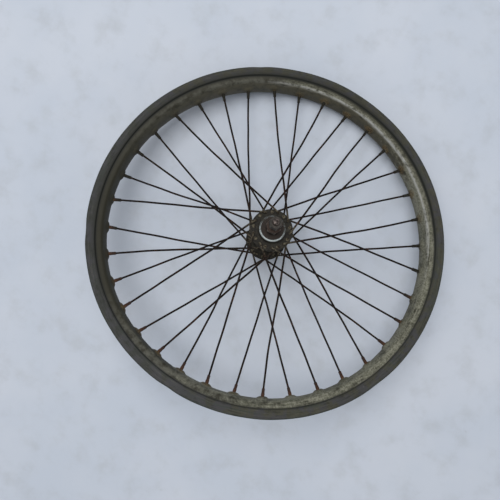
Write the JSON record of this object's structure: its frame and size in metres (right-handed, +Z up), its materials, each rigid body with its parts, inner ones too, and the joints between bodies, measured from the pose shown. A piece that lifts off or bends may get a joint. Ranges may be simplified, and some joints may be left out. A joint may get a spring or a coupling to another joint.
{
  "type": "bent bicycle wheel",
  "caption": "Bare, buckled steel bicycle rim laced with rusty bowed wire spokes to a ball-bearing front hub, lying tilted on one end of its axle.",
  "frame": {"origin": "on the floor, under the middle of the wheel's box as it lies", "axes": "+Z up; the rim's low side is towards +Y and the hub's upper end leans that way"},
  "size_m": [0.4212, 0.4106, 0.138],
  "materials": {
    "rim": "dull old plating with dried mud, rust at the spoke holes",
    "spokes": "dark, dull and rusty wire",
    "nipples": "rough red-brown rust",
    "hub_shell": "greasy olive-brown dirt over dull plating",
    "bearing_steel": "worn bare steel with old grease",
    "axle": "rusty thread with old grease",
    "nuts": "dull plated steel with worn corners"
  },
  "bodies": {
    "wheel": {"rim": "rim", "spoke_01": "spokes", "spoke_02": "spokes", "spoke_03": "spokes", "spoke_04": "spokes", "spoke_05": "spokes", "spoke_06": "spokes", "spoke_07": "spokes", "spoke_08": "spokes", "spoke_09": "spokes", "spoke_10": "spokes", "spoke_11": "spokes", "spoke_12": "spokes", "spoke_13": "spokes", "spoke_14": "spokes", "spoke_15": "spokes", "spoke_16": "spokes", "spoke_17": "spokes", "spoke_18": "spokes", "spoke_19": "spokes", "spoke_20": "spokes", "spoke_21": "spokes", "spoke_22": "spokes", "spoke_23": "spokes", "spoke_24": "spokes", "spoke_25": "spokes", "spoke_26": "spokes", "spoke_27": "spokes", "spoke_28": "spokes", "spoke_29": "spokes", "spoke_30": "spokes", "spoke_31": "spokes", "spoke_32": "spokes", "spoke_33": "spokes", "spoke_34": "spokes", "spoke_35": "spokes", "spoke_36": "spokes", "nipples_upper": "nipples", "nipples_lower": "nipples", "hub_shell": "hub_shell", "cup_upper": "bearing_steel", "cup_lower": "bearing_steel", "dust_cap_upper": "hub_shell", "dust_cap_lower": "hub_shell"},
    "axle_set": {"axle": "axle", "cone_upper": "bearing_steel", "cone_lower": "bearing_steel", "lock_washer_upper": "axle", "lock_washer_lower": "axle", "locknut_upper": "nuts", "locknut_lower": "nuts", "axle_washer_upper": "axle", "axle_washer_lower": "axle", "axle_nut_upper": "nuts", "axle_nut_lower": "nuts"},
    "ball_rings": {"balls_upper": "bearing_steel", "balls_lower": "bearing_steel"}
  },
  "joints": [
    {"name": "axle_turn", "type": "hinge", "parent": "wheel", "child": "axle_set", "pos_m": [0.00001, -0.00122, 0.06673], "axis": [0, 0.2421, 0.9703], "continuous": true},
    {"name": "balls_turn", "type": "hinge", "parent": "wheel", "child": "ball_rings", "pos_m": [0.00001, -0.00122, 0.06673], "axis": [0, 0.2421, 0.9703], "continuous": true}
  ],
  "couplings": [
    {"joint": "balls_turn", "follows": "axle_turn", "ratio": 0.404}
  ]
}
